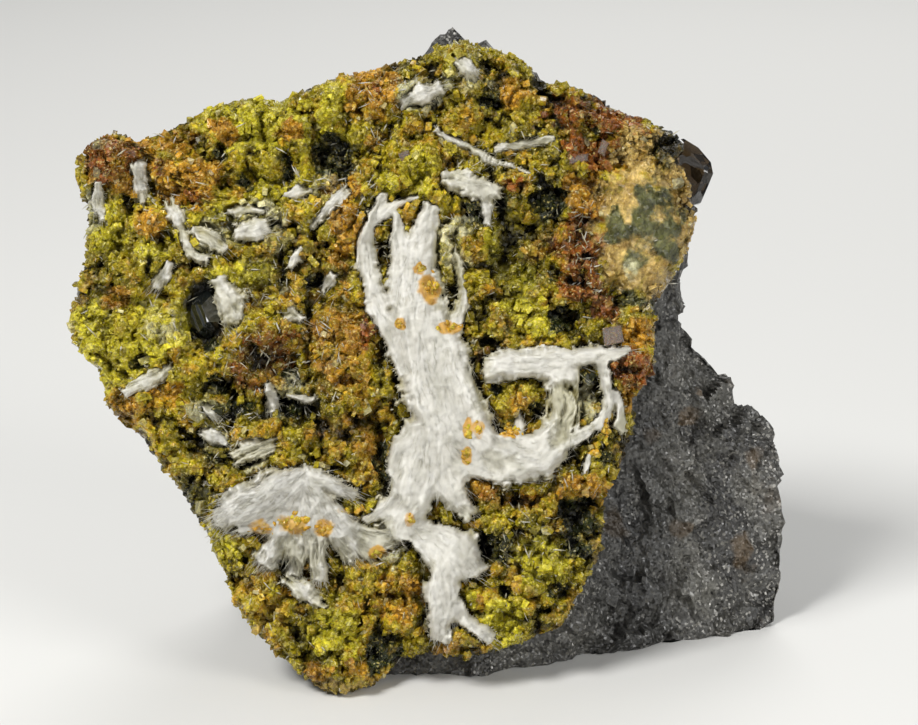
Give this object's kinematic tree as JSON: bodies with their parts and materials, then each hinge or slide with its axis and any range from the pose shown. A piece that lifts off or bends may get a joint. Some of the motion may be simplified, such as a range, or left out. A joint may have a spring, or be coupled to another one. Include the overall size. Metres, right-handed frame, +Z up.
{
  "type": "mineral specimen",
  "caption": "Mineral specimen: a thick piece of dark ore with a lumpy yellow and amber barite crust on its front and white silky ettringite sprays across it.",
  "frame": {"origin": "on the flat foot, under about the middle of the specimen's depth, below the lower part of its front face", "axes": "+Z up from the foot, -Y towards the viewer of the crust, +X to the right as the crust is viewed"},
  "size_m": [0.0638, 0.0335, 0.055],
  "materials": {
    "ore": "satin",
    "barite": "satin",
    "ettringite": "satin",
    "black_crystal": "gloss",
    "smoky_crystal": "gloss",
    "pale_plates": "satin"
  },
  "bodies": {
    "root": {"matrix_rock": "ore", "barite_crust": "barite", "ettringite_great_spray": "ettringite", "ettringite_fan": "ettringite", "ettringite_tongue": "ettringite", "ettringite_tuft": "ettringite", "ettringite_upper_lath": "ettringite", "ettringite_right_lath": "ettringite", "ettringite_streak": "ettringite", "ettringite_post": "ettringite", "ettringite_blade": "ettringite", "ettringite_crystal_side": "ettringite", "ettringite_web": "ettringite", "ettringite_upper_fleck": "ettringite", "ettringite_lower_fleck": "ettringite", "ettringite_clump": "ettringite", "ettringite_low_fibres": "ettringite", "ettringite_top_patch": "ettringite", "ettringite_edge_patch": "ettringite", "ettringite_peak_patch": "ettringite", "ettringite_left_patch": "ettringite", "ettringite_slant_lath": "ettringite", "black_crystal": "black_crystal", "smoky_crystal": "smoky_crystal", "pale_plate_lower": "pale_plates", "pale_plate_upper": "pale_plates", "pale_plate_corner": "pale_plates", "pale_plate_middle": "pale_plates"}
  },
  "joints": []
}
